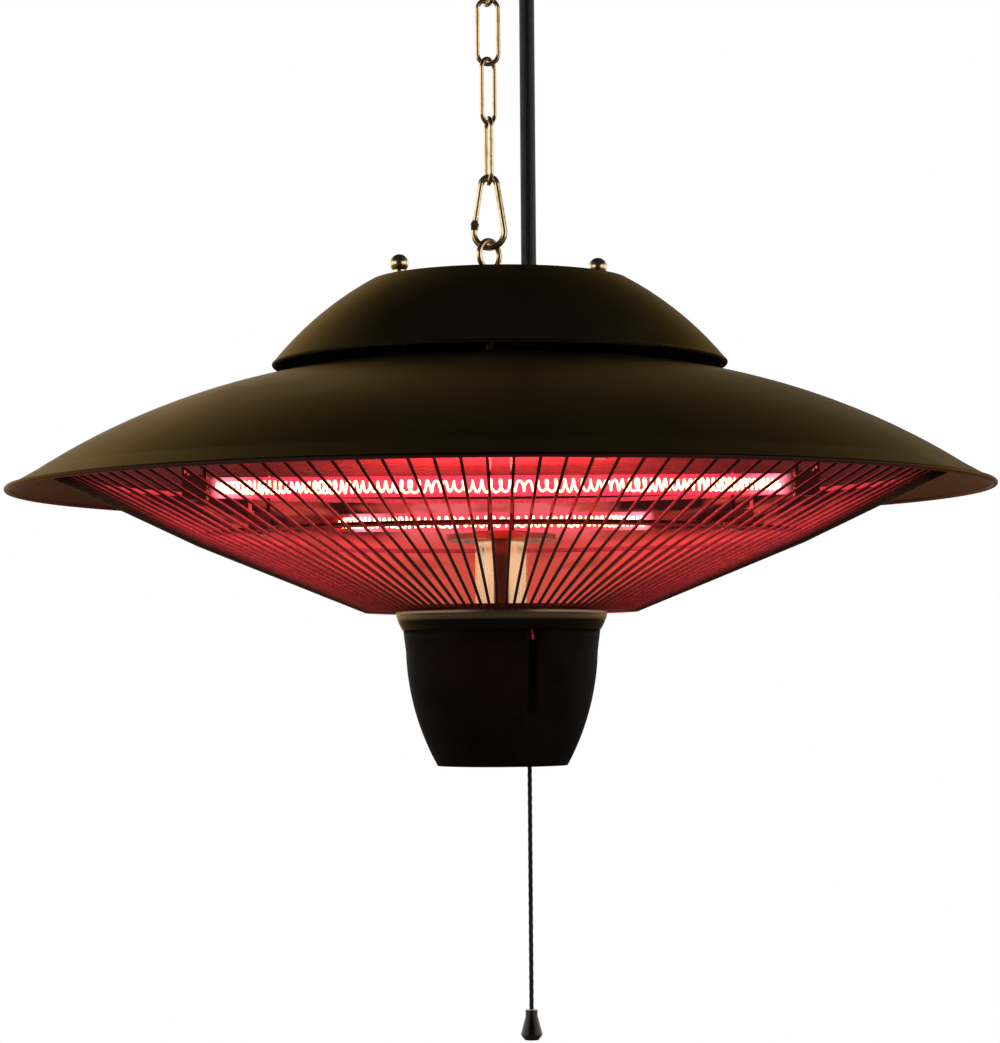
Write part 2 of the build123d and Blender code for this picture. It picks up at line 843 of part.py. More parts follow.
def cup_bezel():
    """The bronze ring under the wires' feet, with its curved edge."""
    top = grille_floor_low
    low = top - bezel_height
    edge = top - bezel_edge
    mid = ((bezel_radius + bezel_low_radius) / 2 + bezel_bulge, (edge + low) / 2)
    inner = bezel_low_radius - bezel_wall
    face = make_face(
        [
            Line((post_bore, top), (bezel_radius, top)),
            Line((bezel_radius, top), (bezel_radius, edge)),
            ThreePointArc((bezel_radius, edge), mid, (bezel_low_radius, low)),
            Line((bezel_low_radius, low), (inner, low)),
            Line((inner, low), (inner, edge)),
            Line((inner, edge), (post_bore, edge)),
            Line((post_bore, edge), (post_bore, top)),
        ]
    )
    bezel = revolve(Plane.XZ * face, Axis.Z)
    for x, y in channel_places():
        bezel -= rod(cup_screw_radius + close_gap, low, top + overrun, x, y)
    return bezel


def cup_form(inset, top, floor):
    """The cup as a filled form, inset from its outer wall."""
    waist = (cup_waist_radius - inset, cup_top - cup_waist_drop)
    mid = (cup_mid_radius - inset, cup_top - cup_mid_drop)
    foot = (cup_bottom_radius - inset, floor)
    head = (cup_top_radius - inset, top)
    return turned(
        Line((0, top), head),
        Line(head, waist),
        ThreePointArc(waist, mid, foot),
        Line(foot, (0, floor)),
        Line((0, floor), (0, top)),
    )


def cup_housing():
    """The moulded cup with its three deep screw channels and its spigot."""
    spigot_radius = bezel_low_radius - bezel_wall - close_gap
    spigot_top = grille_floor_low - bezel_edge
    outer = cup_form(0.0, cup_top, cup_bottom)
    cup = outer - cup_form(cup_wall, cup_top, cup_bottom + cup_floor)
    cup += pipe(spigot_radius, cup_top_radius - 2 * cup_wall, cup_top - cup_wall, spigot_top)
    boss_room = outer + rod(spigot_radius, cup_top, spigot_top)
    for x, y in channel_places():
        cup += rod(channel_radius + channel_wall, cup_bottom, spigot_top, x, y) & boss_room
    for x, y in channel_places():
        cup -= rod(channel_radius, cup_bottom - overrun, channel_top, x, y)
        cup -= rod(cup_screw_radius + close_gap, channel_top - overrun, spigot_top + overrun, x, y)
    return cup - rod(bushing_radius + close_gap, cup_bottom - overrun, cup_bottom + bushing_height, cord_x)


def cup_screws():
    """Three screws from the channels up into the base plate."""
    screws = []
    for x, y in channel_places():
        head = rod(cup_screw_head_radius, channel_top - cup_screw_head, channel_top, x, y)
        screws.append(head + rod(cup_screw_radius, channel_top, base_plate_top, x, y))
    return Compound(children=screws)


# Quartz tubes
def tube_rows():
    """Each row's name, place along Y and height."""
    return [("front", -tube_offset), ("back", tube_offset)]


def along_x(shape, x, y, z):
    """Lays an upright shape along X at a place."""
    return Pos(x, y, z) * Rot(0, 90, 0) * shape


def quartz_tube(row, y):
    """A plain quartz tube."""
    length = 2 * tube_half_lengths[row]
    tube = Cylinder(tube_radius, length) - Cylinder(tube_bore, length + overrun)
    return along_x(tube, 0, y, tube_heights[row])


def helix_point(turn, start, pitch):
    """Place and direction on the filament's helix after so many turns."""
    angle = 2 * pi * turn
    place = Vector(start + pitch * turn, filament_radius * cos(angle), filament_radius * sin(angle))
    reach = 2 * pi * filament_radius
    direction = Vector(pitch, -reach * sin(angle), reach * cos(angle)).normalized()
    return place, direction


def biarc(first, second):
    """Two arcs that join two places with given directions."""
    (p0, t0), (p1, t1) = first, second
    gap = p1 - p0
    both = t0 + t1
    spread = 2 * (1 - t0.dot(t1))
    reach = (sqrt(gap.dot(both) ** 2 + spread * gap.dot(gap)) - gap.dot(both)) / spread
    control = p0 + t0 * reach
    middle = (control + p1 - t1 * reach) * 0.5
    return [
        TangentArc([p0, middle], tangent=t0),
        TangentArc([middle, p1], tangent=middle - control),
    ]


def filament(row, y):
    """The wound filament: one unbroken tube on half-turn biarcs."""
    start, end = filament_ends[row]
    curls = {"front": front_curl_count, "back": back_curl_count}[row]
    pitch = (end - start) / curls
    places = [helix_point(half / 2, start, pitch) for half in range(2 * curls + 1)]
    edges = []
    for first, second in zip(places, places[1:]):
        edges += biarc(first, second)
    coil = swept(Wire(edges), filament_wire)
    print(row, "filament least gap to itself", round(pitch - 2 * filament_wire, 2))
    return Pos(0, y, tube_heights[row]) * coil


def holders(row, y):
    """Ceramic end holders that grip the tube's ends."""
    height = tube_heights[row]
    half = holder_width / 2
    blocks = []
    for side in (-1, 1):
        inner = side * (tube_half_lengths[row] - holder_grip)
        outer = inner + side * holder_length
        block = slab(sorted((inner, outer)), (y - half, y + half), (height - half, height + half))
        seat = Cylinder(tube_radius + close_gap, 2 * tube_half_lengths[row] + 2 * close_gap)
        blocks.append(block - along_x(seat, 0, y, height))
    return Compound(children=blocks)


def tube_brackets(row, y):
    """Straps from the reflector down to the ceramic holders."""
    low = tube_heights[row] + holder_width / 2
    half = bracket_width / 2
    above = over_reflector()
    straps = []
    for side in (-1, 1):
        outer = tube_half_lengths[row] - holder_grip + holder_length
        x_ends = sorted((side * (outer - bracket_inset), side * outer))
        leg = slab(sorted((side * outer, side * (outer - bracket_sheet))), (y - half, y + half), (low, canopy_land))
        foot = slab(x_ends, (y - half, y + half), (low, low + bracket_sheet))
        straps.append((leg + foot) - above)
    return Compound(children=straps)


def lead_wires():
    """Sleeved leads from the holders to the terminal block."""
    leads = []
    for place, (row, x, y) in enumerate(lead_places()):
        low = tube_heights[row] + holder_width / 2
        turn = radians(lead_turns[place])
        end_x = cable_x + wire_circle * cos(turn)
        end_y = wire_circle * sin(turn)
        high = reflector_height + lead_rise
        bar_low = canopy_underside - bar_depth
        points = [(x, y, low), (x, y, high), (end_x, end_y, bar_low), (end_x, end_y, canopy_land)]
        path = FilletPolyline(*points, radius=3 * lead_radius)
        leads.append(swept(path, lead_radius))
    return Compound(children=leads)


def switch_wires():
    """Leads down the post to the pull switch."""
    leads = []
    low = pivot_height + switch_height / 2
    for lead_turn, side in zip(switch_lead_turns, (-1, 1)):
        turn = radians(lead_turn)
        top = (cable_x + wire_circle * cos(turn), wire_circle * sin(turn))
        down_x = side * switch_lead_offset
        bend = canopy_underside - bar_depth - lead_rise
        end_x = pivot_x + switch_lead - switch_length / 2 + down_x
        points = [
            (top[0], top[1], canopy_land),
            (top[0], top[1], bend),
            (down_x, 0, bend - lead_rise),
            (down_x, 0, low + switch_lead_shift),
            (end_x, 0, low + switch_lead_shift / 2),
            (end_x, 0, low),
        ]
        path = FilletPolyline(*points, radius=3 * lead_radius)
        leads.append(swept(path, lead_radius))
    return Compound(children=leads)


def thermal_cutout():
    """A small round cut-out switch on top of the reflector."""
    low = reflector_height + reflector_sheet
    return rod(cutout_radius, low, low + cutout_height, -cutout_offset, cutout_offset)


# Pull switch
def across_y(shape, x, z, y=0.0):
    """Lays an upright shape along Y at a place."""
    return Pos(x, y, z) * Rot(90, 0, 0) * shape


def rotor_place():
    """The rotor's axis in X and height."""
    return pivot_x + switch_lead - switch_length + rotor_inset, pivot_height


def switch_body():
    """The switch case with the lever's slot, its bearing and the rotor's pocket."""
    high_x = pivot_x + switch_lead
    low_x = high_x - switch_length
    half = switch_height / 2
    z_ends = (pivot_height - half, pivot_height + half)
    body = slab((low_x, high_x), (-switch_width / 2, switch_width / 2), z_ends)
    slot_x = (high_x - switch_slot_depth, high_x + overrun)
    slot_z = (z_ends[0] - overrun, z_ends[1] - bar_sheet)
    body -= slab(slot_x, (-switch_slot, switch_slot), slot_z)
    body -= across_y(Cylinder(switch_pin_radius + close_gap, switch_width + overrun), pivot_x, pivot_height)
    x, z = rotor_place()
    depth = rotor_thickness + free_gap
    front = -switch_width / 2
    pocket = Cylinder(rotor_radius + rotor_tooth + free_gap, 2 * depth)
    body -= across_y(pocket, x, z, front)
    bearing = Cylinder(switch_pin_radius + close_gap, switch_width + 2 * free_gap)
    return body - across_y(bearing, x, z, front)


def switch_lever():
    """The forked lever and its pin, at rest with the fork up."""
    lever = across_y(Cylinder(lever_hub_radius, 2 * lever_half_width), 0, 0)
    lever += across_y(Cylinder(switch_pin_radius, switch_width), 0, 0)
    thick = (-lever_half_thickness, lever_half_thickness)
    reach = lever_reach / cos(radians(lever_lift))
    lever += slab((0, reach), (-lever_half_width, lever_half_width), thick)
    tip = reach + fork_length / 2
    lever += slab((reach - fork_length, tip), (-fork_half_width, fork_half_width), thick)
    lever -= slab((reach - fork_length / 2, tip + overrun), (-fork_slot, fork_slot), (-overrun, overrun))
    return Pos(pivot_x, 0, pivot_height) * Rot(0, -lever_lift, 0) * lever


def switch_rotor():
    """The ratchet wheel that a pull turns on by a quarter turn."""
    x, z = rotor_place()
    wheel = Cylinder(rotor_radius, rotor_thickness)
    for tooth in range(rotor_teeth):
        turn = radians(360 / rotor_teeth * tooth)
        spot = Pos(rotor_radius * cos(turn), rotor_radius * sin(turn), 0)
        wheel += spot * Cylinder(rotor_tooth, rotor_thickness)
    front = -switch_width / 2 + rotor_thickness / 2
    pin = across_y(Cylinder(switch_pin_radius, switch_width / 2), x, z, front + switch_width / 4 - rotor_thickness / 2)
    return across_y(wheel, x, z, front) + pin


def switch_bracket():
    """The strap that hangs the switch case from the bezel."""
    high_x = pivot_x + switch_lead
    low_x = high_x - switch_length
    face = switch_width / 2
    top = grille_floor_low - bezel_edge
    strap = slab((low_x, high_x), (face, face + strap_sheet), (pivot_height - switch_height / 2, top))
    return strap + slab((low_x, high_x), (face, face + strap_foot), (top - strap_sheet, top))


def cord_bushing():
    """The bell-mouthed bushing in the cup's floor."""
    low = cup_bottom
    bushing = rod(bushing_radius, low, low + bushing_height, cord_x)
    inside = cup_bottom + cup_floor
    bushing += rod(bushing_flange, inside, inside + bushing_flange_height, cord_x)
    bushing -= rod(bushing_bore, low - overrun, low + bushing_height + overrun, cord_x)
    mouth = Pos(cord_x, 0, low + cup_floor / 2) * Cone(2 * bushing_bore, bushing_bore, cup_floor)
    return bushing - mouth


def pull_cord_inner():
    """The cord inside the cup with the ball that draws the lever down."""
    low = cup_bottom + cord_radius + free_gap
    inner = rod(cord_radius, low, cord_ball_height, cord_x)
    return inner + Pos(cord_x, 0, cord_ball_height) * Sphere(cord_ball_radius)


def pull_cord():
    """The free cord under the cup, with a round top end at its swing axis."""
    cord = rod(cord_radius, cord_low + free_gap, cup_bottom, cord_x)
    return cord + Pos(cord_x, 0, cup_bottom) * Sphere(cord_radius)


def pull_knob():
    """The bell knob on the cord's end."""
    waist = cord_low - knob_height * knob_waist_share
    wide = cord_low - knob_height * knob_wide_share
    low = cord_low - knob_height
    knob = turned(
        Line((0, cord_low), (knob_top_radius, cord_low)),
        Line((knob_top_radius, cord_low), (knob_top_radius, waist)),
        Line((knob_top_radius, waist), (knob_radius, wide)),
        Line((knob_radius, wide), (knob_foot_radius, low)),
        Line((knob_foot_radius, low), (0, low)),
        Line((0, low), (0, cord_low)),
    )
    return Pos(cord_x, 0, 0) * knob


def main():
    """Builds and writes every node."""
    save(ceiling_plate(), "ceiling_plate")
    save(ceiling_hook(), "ceiling_hook")
    save(hook_nut(), "hook_nut")
    save(cable_outlet(), "cable_outlet")
    for name in link_turns:
        save(chain_link(name), name)
    save(snap_hook_body(), "snap_hook_body")
    save(snap_hook_gate(), "snap_hook_gate")
    save(gate_pin(), "gate_pin")
    save(hanging_eye(), "hanging_eye")
    save(eye_nut(), "eye_nut")
    save(mains_cable(), "mains_cable")
    save(cable_gland(), "cable_gland")
    save(terminal_block(), "terminal_block")
    save(top_cap(), "top_cap")
    save(cap_studs(), "cap_studs")
    save(ball_nuts(), "ball_nuts")
    save(upper_sleeves(), "upper_sleeves")
    save(lower_sleeves(), "lower_sleeves")
    save(stud_nuts(), "stud_nuts")
    save(frame_bar(), "frame_bar")
    save(canopy(), "canopy")
    save(reflector(), "reflector")
    save(post_neck(), "post_neck")
    save(hub_flange(), "hub_flange")
    save(central_post(), "central_post")
    save(post_base_plate(), "post_base_plate")
    save(grille_wires(), "grille_wires")
    save(band_on_wires(top_ring_radius), "grille_top_ring")
    save(band_on_wires(mid_hoop_radius), "grille_mid_hoop")
    save(foot_ring(), "grille_foot_ring")
    save(grille_clips(), "grille_clips")
    save(cup_bezel(), "cup_bezel")
    save(cup_housing(), "cup_housing")
    save(cup_screws(), "cup_screws")
    for row, y in tube_rows():
        save(quartz_tube(row, y), f"quartz_tube_{row}")
        save(filament(row, y), f"filament_{row}")
        save(holders(row, y), f"ceramic_holders_{row}")
        save(tube_brackets(row, y), f"tube_brackets_{row}")
    save(lead_wires(), "lead_wires")
    save(switch_wires(), "switch_wires")
    save(thermal_cutout(), "thermal_cutout")
    save(switch_bracket(), "switch_bracket")
    save(switch_body(), "switch_body")
    save(switch_lever(), "switch_lever")
    save(switch_rotor(), "switch_rotor")
    save(cord_bushing(), "cord_bushing")
    save(pull_cord_inner(), "pull_cord_inner")
    save(pull_cord(), "pull_cord")
    save(pull_knob(), "pull_knob")


main()
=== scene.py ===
"""The hanging patio heater: cords, finishes, glow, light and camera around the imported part.

Sizes are in metres and turns in degrees, unless a comment says otherwise.
"""
import json
from math import hypot, pi, radians

import bmesh
import bpy
import numpy as np
from mathutils import Matrix, Vector

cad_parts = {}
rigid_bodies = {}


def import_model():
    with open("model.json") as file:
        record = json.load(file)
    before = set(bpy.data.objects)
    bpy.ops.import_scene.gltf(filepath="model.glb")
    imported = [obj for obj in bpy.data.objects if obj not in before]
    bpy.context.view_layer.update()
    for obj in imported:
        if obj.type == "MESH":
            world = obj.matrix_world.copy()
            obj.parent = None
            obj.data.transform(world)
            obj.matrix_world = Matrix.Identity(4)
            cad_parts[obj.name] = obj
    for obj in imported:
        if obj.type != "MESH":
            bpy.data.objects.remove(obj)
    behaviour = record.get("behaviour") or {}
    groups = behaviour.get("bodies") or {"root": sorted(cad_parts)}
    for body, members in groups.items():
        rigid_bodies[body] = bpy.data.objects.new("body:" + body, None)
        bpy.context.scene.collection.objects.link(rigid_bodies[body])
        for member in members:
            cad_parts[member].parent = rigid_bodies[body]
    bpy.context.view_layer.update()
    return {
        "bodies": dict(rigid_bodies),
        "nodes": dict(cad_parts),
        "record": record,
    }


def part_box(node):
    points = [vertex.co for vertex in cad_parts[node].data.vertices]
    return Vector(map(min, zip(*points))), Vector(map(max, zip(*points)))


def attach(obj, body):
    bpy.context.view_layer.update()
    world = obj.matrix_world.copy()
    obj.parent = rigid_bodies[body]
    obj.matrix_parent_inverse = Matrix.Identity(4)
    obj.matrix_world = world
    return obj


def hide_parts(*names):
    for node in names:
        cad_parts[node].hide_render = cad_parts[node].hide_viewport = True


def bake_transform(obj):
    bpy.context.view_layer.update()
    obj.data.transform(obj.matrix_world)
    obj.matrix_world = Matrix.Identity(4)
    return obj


# Camera: lens and film in mm, its place from the middle of the canopy's lowest edge
lens = 103.0
film_width = 36.0
camera_side = -0.0006
camera_distance = 1.836
camera_drop = 0.1139
camera_tilt = 3.01
camera_roll = 0.42

# Mains cable and pull cord
cable_ring_step = 0.004
cable_sides = 32
cord_ring_step = 0.0005
cord_sides = 24
braid_depth = 0.00008
braid_pitch = 0.0056
braid_strands = 6

# Grille, heights over the wires' level feet
wire_count = 114
wire_radius = 0.0009
wire_sides = 10
wire_bend_radius = 0.009
wire_bend_steps = 8
grille_end_radius = 0.0645
grille_bend_radius = 0.084
grille_knee_radius = 0.1862
grille_knee_rise = 0.0417

# Skin of painted red glow outside the grille: its gap to the wires, how much of that it stands past the knee,
# and its sides
skin_gap = 0.0003
skin_knee_share = 0.4
skin_sides = 240

# Cup: its screw channels, the angle from which an edge stays sharp, and how near its points are welded
channel_count = 3
channel_turn = -71.2
channel_circle = 0.0544
channel_radius = 0.0031
channel_top_drop = 0.0034
sharp_edge = 35.0
weld_gap = 0.000001

# Wound filaments
coil_wire_radius = 0.0007
coil_radius = 0.0036
coil_turns = {"front": 84, "back": 52}
coil_crowding = 0.4
coil_lean = 0.0016
coil_steady_share = 0.4
coil_swell_share = 0.10
# Radians that each wave runs through over half a coil, and where it stands in the middle
coil_waves = {"long": (9.0, 0.7), "short": (31.0, 1.9), "swell": (23.0, 2.2)}
coil_steps = 14
coil_sides = 8

# Bands over which a finish changes: over the canopy's lowest edge, where the hem's painted shade ends, then
# over the top cap's, for its painted shadow, its paint, and the painted glow and shade underneath
hem_shade_band = (0.0024, 0.0030)
cap_shadow_band = (0.0016, 0.0022)
cap_paint_band = (-0.0004, 0.0)
cap_inside_band = (-0.002, 0.0)
# Over the line between the bezel's painted shade and its bright share, the post's top, where the neck's
# painted red starts, the grille's foot, under which screws get a painted red glint, and its knee, where the
# wires' painted glow starts
bezel_shade_share = 0.55
bezel_band = (-0.0008, 0.0008)
post_top_band = (-0.0005, 0.0005)
grille_foot_band = (-0.002, 0.0)
knee_band = (-0.004, 0.012)
# Of the leads' sleeves: over the post's top and over the dish's lowest edge
dark_from_post = (-0.004, 0.0)
dark_to_dish = (0.0, 0.004)
# Of the tubes: past the filament's end, and from the front one to the back one
pale_band = (-0.026, -0.006)
unlit_band = (-0.003, 0.004)
between_tubes = (-0.01, 0.01)
# Of the skin of painted glow outside the grille: over the knee
skin_top_band = (0.008, 0.018)
# Distances aside of the middle over which the painted glow changes: of the wires under the knee and of the
# skin below and above the knee
under_knee_aside = (0.05, 0.13)
skin_aside = (0.03, 0.11)
skin_top_aside = (0.060, 0.085)
# Distances aside as shares of the radius: where the wires' and the skin's painted glow fades, as a tube
# throws little light past its ends, and where the hem's painted shade gives way to the sheet
off_the_ends = (0.925, 0.985)
hem_shade_beside = (0.94, 0.99)
# Radius times the share of the surface's direction that points outwards
inward_band = (-0.06, 0.13)
# Upright share of the surface's direction
downward_band = (-0.30, -0.10)

# Studio
backdrop_white = 1.0
warm_white = (1.0, 0.96, 0.90)
ambient = 0.018
horizon_glow = 1.3
under_horizon_share = 0.15
right_share = 0.45
side_glow = 1.25
floor_glow = 0.08
# Shares of a direction over which the glow, the panels and the floor's light change
glow_upwards = (0.08, 0.70)
glow_from_floor = (-0.15, 0.0)
glow_backwards = (0.0, 0.7)
glow_rightwards = (-0.15, 0.15)
panel_inner_edge = (0.50, 0.60)
panel_low_edge = (-0.16, -0.10)
panel_high_edge = (0.30, 0.40)
floor_edge = (-0.5, -0.05)

# Red light: a tube's power by the way it shines along Y and Z, and a pool's power by its place along Y
glow_red = (1.0, 0.055, 0.08)
tube_powers = {(0, 1): 0.45, (0, -1): 0.5, (-1, 0): 0.6, (1, 0): 0.6}
tube_glow_width = 0.008
pool_powers = {-0.19: 0.45, -0.07: 0.9, 0.07: 1.2}
pool_size = (0.11, 0.05)


def lowest(node):
    """The lowest level of a node."""
    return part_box(node)[0][2]


def highest(node):
    """The highest level of a node."""
    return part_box(node)[1][2]


def from_level(level, band):
    """Both limits of a band that is measured from a level."""
    return level + band[0], level + band[1]


# Node trees
class Tree:
    """The node tree of a material or a world, with short calls for the patterns used here."""

    def __init__(self, owner, place):
        """Empties the owner's tree and takes the coordinates that its patterns read."""
        owner.use_nodes = True
        self.tree = owner.node_tree
        self.tree.nodes.clear()
        self.coordinates = self.add("ShaderNodeTexCoord").outputs
        self.place = self.coordinates[place]

    def add(self, kind, **settings):
        """A new node with its settings."""
        node = self.tree.nodes.new(kind)
        for name, value in settings.items():
            setattr(node, name, value)
        return node

    def join(self, source, target):
        """A link, or a plain value where the source is a number or a colour."""
        if isinstance(source, bpy.types.NodeSocket):
            self.tree.links.new(source, target)
        elif isinstance(source, tuple) and len(source) == 3 and target.type == "RGBA":
            target.default_value = (*source, 1.0)
        else:
            target.default_value = source

    def fill(self, node, **values):
        """Gives a node its inputs, named with underscores for spaces."""
        for name, value in values.items():
            self.join(value, node.inputs[name.replace("_", " ")])
        return node

    def step(self, kind, operation, *values):
        """The outputs of one step of arithmetic on its values."""
        node = self.add(kind, operation=operation)
        for value, target in zip(values, node.inputs):
            self.join(value, target)
        return node.outputs

    def number(self, operation, *values):
        """Arithmetic on plain numbers."""
        return self.step("ShaderNodeMath", operation, *values)["Value"]

    def times(self, first, second):
        """Product of two values."""
        return self.number("MULTIPLY", first, second)

    def unsigned(self, value):
        """A value without its sign."""
        return self.number("ABSOLUTE", value)

    def part(self, vector, name):
        """One of a vector's three parts."""
        return self.fill(self.add("ShaderNodeSeparateXYZ"), Vector=vector).outputs[name]

    def axis(self, name):
        """One of the object's own coordinates, or one part of the direction in a world."""
        return self.part(self.place, name)

    def flat(self, vector):
        """A vector without its upright part."""
        return self.step("ShaderNodeVectorMath", "MULTIPLY", vector, (1.0, 1.0, 0.0))["Vector"]

    def radius(self):
        """Distance from the upright axis."""
        return self.step("ShaderNodeVectorMath", "LENGTH", self.flat(self.place))["Value"]

    def beside(self):
        """0 straight in front of or behind the upright axis, 1 straight beside it."""
        return self.number("DIVIDE", self.unsigned(self.axis("X")), self.radius())

    def noise(self, scale, detail=3.0, stretch=(1.0, 1.0, 1.0)):
        """Cloudy noise on the object's own coordinates, in waves per metre."""
        stretched = self.fill(self.add("ShaderNodeMapping"), Vector=self.place, Scale=stretch)
        cloud = self.add("ShaderNodeTexNoise")
        self.fill(cloud, Vector=stretched.outputs["Vector"], Scale=scale, Detail=detail)
        return cloud.outputs["Fac"]

    def rings(self, scale, detail=4.0):
        """Noise that only changes with the radius, as spun sheet has."""
        cloud = self.add("ShaderNodeTexNoise", noise_dimensions="1D")
        self.fill(cloud, W=self.radius(), Scale=scale, Detail=detail)
        return cloud.outputs["Fac"]

    def spread(self, value, low, high, start=0.3, end=0.7):
        """The number from low to high that goes with a value from start to end, where a noise mostly lies."""
        reach = self.add("ShaderNodeMapRange")
        self.fill(reach, Value=value, From_Min=start, From_Max=end, To_Min=low, To_Max=high)
        return reach.outputs["Result"]

    def between(self, share, low, high):
        """The number at a share of the way from low to high."""
        return self.spread(share, low, high, 0.0, 1.0)

    def blend(self, share, first, second):
        """The colour at a share of the way from the first to the second."""
        both = self.add("ShaderNodeMix", data_type="RGBA")
        self.join(share, both.inputs["Factor"])
        colours = [socket for socket in both.inputs if socket.type == "RGBA"]
        self.join(first, colours[0])
        self.join(second, colours[1])
        return [socket for socket in both.outputs if socket.type == "RGBA"][0]

    def mixed(self, value, first, second, start=0.35, end=0.65):
        """The first colour where the value is at the start, the second at the end."""
        return self.blend(self.spread(value, 0.0, 1.0, start, end), first, second)

    def light(self, kind, colour, strength=1.0):
        """A shader that gives off light."""
        return self.fill(self.add(kind), Color=colour, Strength=strength).outputs[0]

    def either(self, choice, first, second):
        """The first shader where the choice is 0, the second where it is 1."""
        both = self.add("ShaderNodeMixShader")
        for source, target in zip((choice, first, second), both.inputs):
            self.join(source, target)
        return both.outputs[0]

    def show(self, shader, output="ShaderNodeOutputMaterial"):
        """Ends the tree in a shader."""
        self.fill(self.add(output), Surface=shader)


class Finish(Tree):
    """One material around one surface."""

    def __init__(self, slot):
        """Takes the slot's material, or makes it."""
        self.material = bpy.data.materials.get(slot) or bpy.data.materials.new(slot)
        super().__init__(self.material, "Object")
        self.surface = self.add("ShaderNodeBsdfPrincipled")
        self.facing = self.coordinates["Normal"]
        self.show(self.surface.outputs["BSDF"])

    def put(self, **values):
        """Sets inputs of the surface, named with underscores for spaces."""
        self.fill(self.surface, **values)

    def inward(self):
        """1 where the surface faces the upright axis, falling to 0 as it turns away.

        It follows the radius times the share of the surface's direction that points outwards.
        """
        turned = self.step("ShaderNodeVectorMath", "DOT_PRODUCT", self.place, self.flat(self.facing))
        return self.spread(turned["Value"], 1.0, 0.0, *inward_band)

    def downward(self):
        """1 where the surface faces down, 0 where it faces sideways or up."""
        return self.spread(self.part(self.facing, "Z"), 1.0, 0.0, *downward_band)

    def bump(self, height, strength, distance):
        """Adds relief from a height value, in metres at full strength."""
        relief = self.fill(self.add("ShaderNodeBump"), Height=height, Strength=strength, Distance=distance)
        target = self.surface.inputs["Normal"]
        if target.is_linked:
            self.join(target.links[0].from_socket, relief.inputs["Normal"])
        self.join(relief.outputs["Normal"], target)
        return self


# Finishes
def bronze_paint():
    """Satin bronze paint over spun sheet: cloudy, with spin rings; painted shade on the hem in front and
    behind, a painted shadow along the cap's lowest edge, painted red glow on the undersides and painted shade
    in the cap.
    """
    look = Finish("bronze_paint")
    clouds = look.noise(14.0)
    height = look.axis("Z")
    canopy = lowest("canopy")
    cap = lowest("top_cap")
    sheet = look.mixed(clouds, (0.145, 0.103, 0.056), (0.180, 0.128, 0.070))
    # Painted shade: the canopy's lowest edge is near black in front and behind, in the sheet's own colour
    # only beside the axis.
    hem = look.mixed(look.beside(), (0.030, 0.020, 0.013), sheet, *hem_shade_beside)
    canopy_paint_and_shade = look.mixed(height, hem, sheet, *from_level(canopy, hem_shade_band))
    # Painted shadow: a near-black band along the cap's lowest edge, over the vent gap.
    cap_paint_and_shadow = look.mixed(height, (0.012, 0.009, 0.006), sheet, *from_level(cap, cap_shadow_band))
    outside = look.mixed(height, canopy_paint_and_shade, cap_paint_and_shadow, *from_level(cap, cap_paint_band))
    # Undersides: painted red glow of the tubes below the cap's edge, painted shade, near black, inside the
    # cap.
    over_cap_edge = look.spread(height, 0.0, 1.0, *from_level(cap, cap_inside_band))
    inside = look.blend(over_cap_edge, (0.21, 0.058, 0.075), (0.010, 0.008, 0.006))
    in_cap = look.times(look.downward(), over_cap_edge)
    look.put(Base_Color=look.blend(look.downward(), outside, inside))
    look.put(Metallic=look.between(in_cap, 0.95, 0.0), Specular_Tint=(0.85, 0.65, 0.38))
    look.put(Roughness=look.between(in_cap, look.spread(clouds, 0.34, 0.42), 0.9))
    look.bump(look.rings(900.0), 0.25, 0.00006)
    return look.bump(look.noise(1400.0, 2.0), 0.15, 0.00004)


def bezel_bronze():
    """Brighter satin bronze of the turned bezel, with turning lines, and painted shade on its lower share,
    towards the cup.
    """
    look = Finish("bezel_bronze")
    lines = look.rings(1800.0)
    bright = look.mixed(lines, (0.34, 0.235, 0.145), (0.44, 0.31, 0.195))
    # Painted shade: the lower share is near black, the upper share bright.
    edge = lowest("cup_bezel") + bezel_shade_share * (highest("cup_bezel") - lowest("cup_bezel"))
    shade = look.mixed(look.axis("Z"), (0.030, 0.022, 0.016), bright, *from_level(edge, bezel_band))
    look.put(Base_Color=shade, Metallic=0.95)
    look.put(Roughness=look.spread(lines, 0.26, 0.36), Specular_Tint=(0.85, 0.66, 0.45))
    return look.bump(look.noise(1600.0, 2.0), 0.12, 0.00003)


def antique_brass():
    """Plated brass, rubbed bright, with darker patina in patches."""
    look = Finish("antique_brass")
    patches = look.noise(260.0, 5.0)
    fine = look.noise(2400.0)
    look.put(Base_Color=look.mixed(patches, (0.88, 0.69, 0.43), (0.50, 0.37, 0.18), 0.50, 0.85), Metallic=1.0)
    look.put(Roughness=look.spread(patches, 0.16, 0.28))
    return look.bump(fine, 0.12, 0.00003)


def cable_rubber():
    """Black rubber sheath with a soft grain."""
    look = Finish("cable_rubber")
    grain = look.noise(1500.0, 4.0, (1.0, 1.0, 0.25))
    look.put(Base_Color=look.mixed(grain, (0.008, 0.008, 0.008), (0.018, 0.018, 0.017)))
    look.put(Roughness=look.spread(grain, 0.42, 0.58), Specular_IOR_Level=0.5)
    return look.bump(grain, 0.2, 0.00006)


def polished_sheet():
    """Polished aluminium dish, coloured and gloss-tinted red as painted glow of the tubes, in faint cloudy
    patches, with spin rings.
    """
    look = Finish("polished_sheet")
    glow_clouds = look.noise(22.0)
    # Painted red glow: the aluminium's colour and its gloss's tint are red, for the tubes' light.
    look.put(Base_Color=look.mixed(glow_clouds, (0.82, 0.36, 0.34), (0.70, 0.30, 0.27)), Metallic=0.85)
    look.put(Roughness=look.spread(look.rings(600.0), 0.20, 0.32), Specular_Tint=(0.18, 0.03, 0.03))
    return look.bump(look.rings(420.0, 2.0), 0.2, 0.0001)


